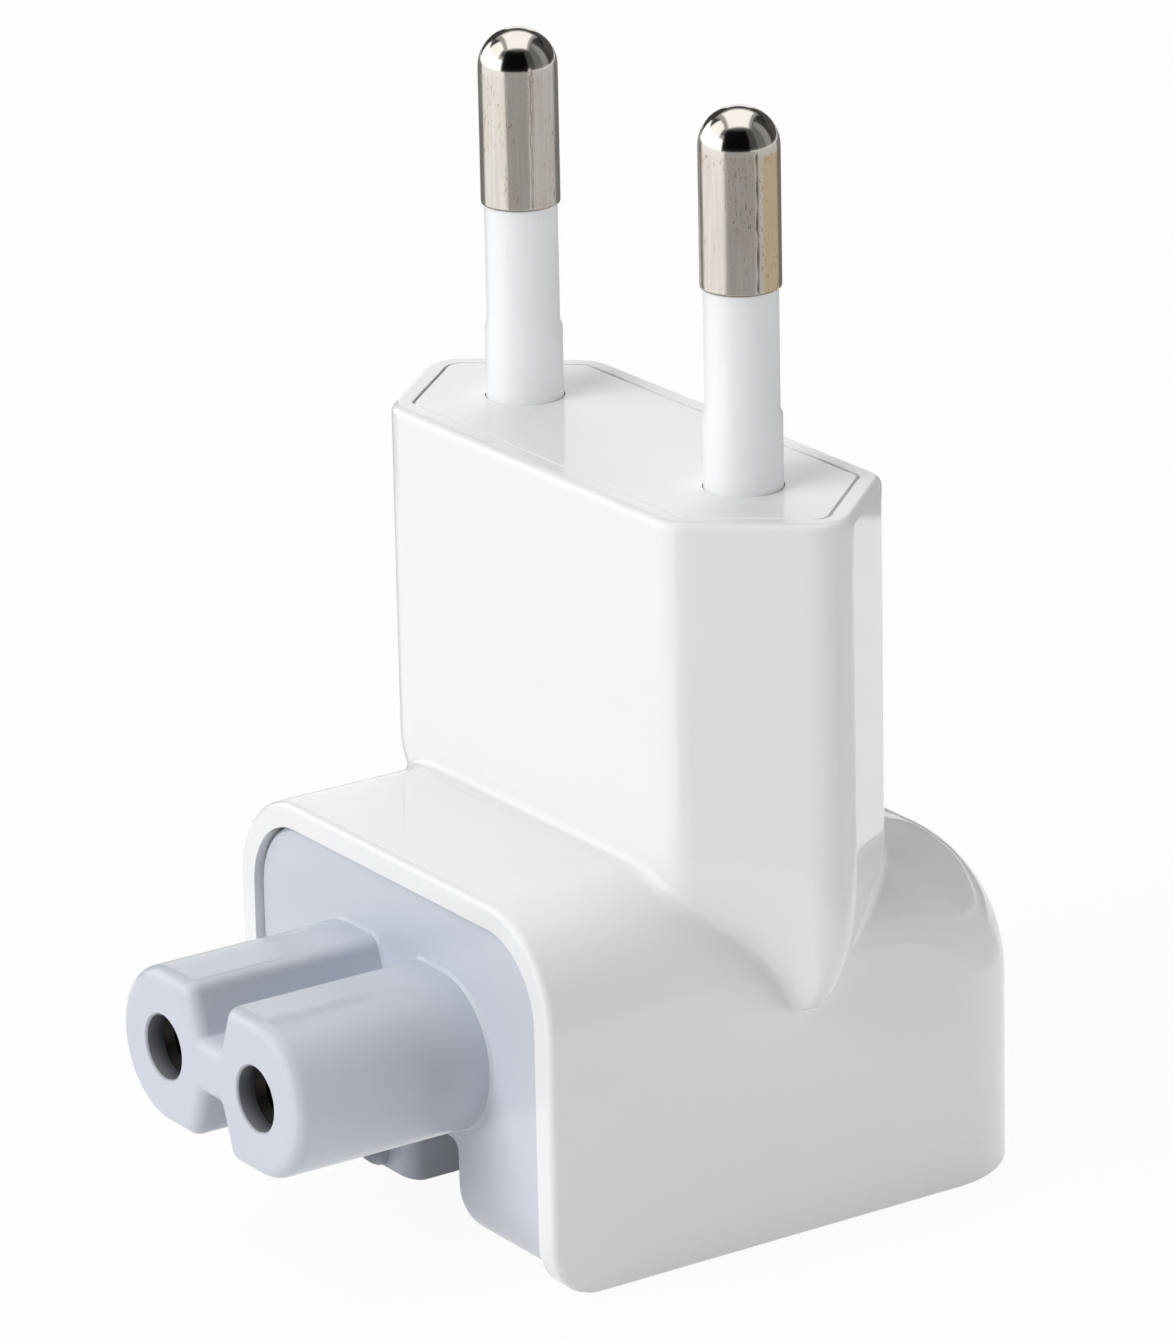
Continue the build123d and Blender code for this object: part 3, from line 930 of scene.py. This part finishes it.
def stage_card(name, points, rows, columns, level):
    """Card in the studio that takes part in reflections alone."""
    mesh = bpy.data.meshes.new(name)
    mesh.from_pydata(points.tolist(), [], grid_faces(rows, columns).tolist())
    mesh.materials.append(flat_grey(name, level))
    card = bpy.data.objects.new(name, mesh)
    bpy.context.scene.collection.objects.link(card)
    card.visible_camera = False
    card.visible_diffuse = False
    card.visible_transmission = False
    card.visible_shadow = False
    return card


def round_card(name, turn, lift, reach, level, camera_turn, middle):
    """Part of a sphere round the plug.
    Point(u, v) = middle + reach (cos v sin u, -cos v cos u, sin v)."""
    rows, columns = CARD_STEPS
    u, v = np.radians(np.meshgrid(np.linspace(*turn, columns), np.linspace(*lift, rows)))
    u = u + camera_turn
    points = np.stack([np.cos(v) * np.sin(u), -np.cos(v) * np.cos(u), np.sin(v)], axis=-1)
    return stage_card(name, middle + reach * points.reshape(-1, 3), rows, columns, level)


def overhead_card(name, lean, spread, reach, level, camera_turn, middle):
    """Part of a sphere over the plug, laid out from the camera's side to the far side.
    Point(u, v) = middle + reach (cos v (cos u toward + sin u up) + sin v right)."""
    rows, columns = CARD_STEPS
    u, v = np.radians(np.meshgrid(np.linspace(*lean, columns), np.linspace(*spread, rows)))
    toward = (sin(camera_turn), -cos(camera_turn), 0)
    up = (0, 0, 1)
    right = (cos(camera_turn), sin(camera_turn), 0)
    parts = np.stack([np.cos(v) * np.cos(u), np.cos(v) * np.sin(u), np.sin(v)], axis=-1)
    points = parts @ np.array([toward, up, right])
    return stage_card(name, middle + reach * points.reshape(-1, 3), rows, columns, level)


def floor_card(name, turn, edges, level, camera_turn):
    """Part of a ring on the floor. Point(u, v) = (v sin u, -v cos u, card's level)."""
    columns = CARD_STEPS[1]
    u, v = np.meshgrid(camera_turn + np.radians(np.linspace(*turn, columns)), edges)
    points = np.stack([v * np.sin(u), -v * np.cos(u), 0 * u + CARD_LEVEL], axis=-1)
    return stage_card(name, points.reshape(-1, 3), len(edges), columns, level)


def soft_box(name, place, size, watts):
    """Area lamp that faces the plug and that no reflection shows."""
    lamp = bpy.data.lights.new(name, "AREA")
    lamp.shape = "RECTANGLE"
    lamp.size, lamp.size_y = size
    lamp.energy = watts
    box = bpy.data.objects.new(name, lamp)
    bpy.context.scene.collection.objects.link(box)
    facing = place.to_track_quat("Z", "Y").to_matrix().to_4x4()
    box.matrix_world = Matrix.Translation(place) @ facing
    box.visible_glossy = False
    return box


class PLUGHEAD_OT_stage(bpy.types.Operator):
    """Lay the floor and set the lights and the camera"""

    bl_idname = "plughead.stage"
    bl_label = "Stage"

    def execute(self, context):
        scene = context.scene
        stage = scene.plug_stage
        scene.view_settings.view_transform = "Standard"
        scene.world = white_world(stage.sky)

        half = stage.floor_size / 2
        mesh = bpy.data.meshes.new("floor")
        corners = np.array([(-half, -half), (half, -half), (half, half), (-half, half)])
        mesh.from_pydata(np.insert(corners, 2, FLOOR_LEVEL, axis=1).tolist(), [], [(0, 1, 2, 3)])
        floor = bpy.data.objects.new("floor", mesh)
        scene.collection.objects.link(floor)
        mesh.materials.append(pale_floor(stage.paper, stage.floor_white))

        for name, (power_name, place, size) in SOFT_BOXES.items():
            soft_box(name, Vector(place), size, getattr(stage, power_name))
        reach = stage.card_distance
        middle = np.array(stage.target)
        for name, (turn, lift, part, level) in CARDS.items():
            round_card(name, turn, lift, part * reach, level, stage.azimuth, middle)
        for name, (lean, spread, part, level) in OVERHEAD_CARDS.items():
            overhead_card(name, lean, spread, part * reach, level, stage.azimuth, middle)
        for name, (turn, edges, level) in FLOOR_CARDS.items():
            floor_card(name, turn, edges, level, stage.azimuth)

        turn = stage.azimuth
        lift = stage.elevation
        back = Vector((sin(turn) * cos(lift), -cos(turn) * cos(lift), sin(lift)))
        right = Vector((cos(turn), sin(turn), 0))
        up = back.cross(right)
        side = cos(stage.roll) * right + sin(stage.roll) * up
        top = back.cross(side)
        lens = bpy.data.cameras.new("camera")
        lens.sensor_fit = "VERTICAL"
        lens.sensor_height = PICTURE_HEIGHT
        lens.lens = stage.focal
        lens.clip_start = 0.01
        camera = bpy.data.objects.new("camera", lens)
        scene.collection.objects.link(camera)
        place = Vector(stage.target) + stage.distance * back
        turned_frame = Matrix((side, top, back)).transposed().to_4x4()
        camera.matrix_world = Matrix.Translation(place) @ turned_frame
        scene.camera = camera
        return {"FINISHED"}


OPERATORS = (
    PLUGHEAD_OT_shell,
    PLUGHEAD_OT_pins,
    PLUGHEAD_OT_insert,
    PLUGHEAD_OT_contacts,
    PLUGHEAD_OT_stage,
)


class PLUGHEAD_PT_sidebar(bpy.types.Panel):
    """Sizes, colours and pieces of the plug head"""

    bl_idname = "PLUGHEAD_PT_sidebar"
    bl_label = "Plug head"
    bl_space_type = "VIEW_3D"
    bl_region_type = "UI"
    bl_category = "Plug head"

    def draw(self, context):
        column = self.layout.column()
        for name, group in PROPERTY_GROUPS.items():
            for key in group.__annotations__:
                column.prop(getattr(context.scene, name), key)
        for operator in OPERATORS:
            column.operator(operator.bl_idname)


CLASSES = (*PROPERTY_GROUPS.values(), *OPERATORS, PLUGHEAD_PT_sidebar)


def register():
    """Register the classes, and give each scene their sizes and colours."""
    for group in CLASSES:
        bpy.utils.register_class(group)
    for name, group in PROPERTY_GROUPS.items():
        setattr(bpy.types.Scene, name, bpy.props.PointerProperty(type=group))


def unregister():
    """Take away what register adds."""
    for name in PROPERTY_GROUPS:
        delattr(bpy.types.Scene, name)
    for group in reversed(CLASSES):
        bpy.utils.unregister_class(group)


def main():
    """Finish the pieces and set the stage."""
    register()
    bpy.ops.plughead.shell()
    bpy.ops.plughead.pins()
    bpy.ops.plughead.insert()
    bpy.ops.plughead.contacts()
    bpy.ops.plughead.stage()


if __name__ == "__main__":
    main()
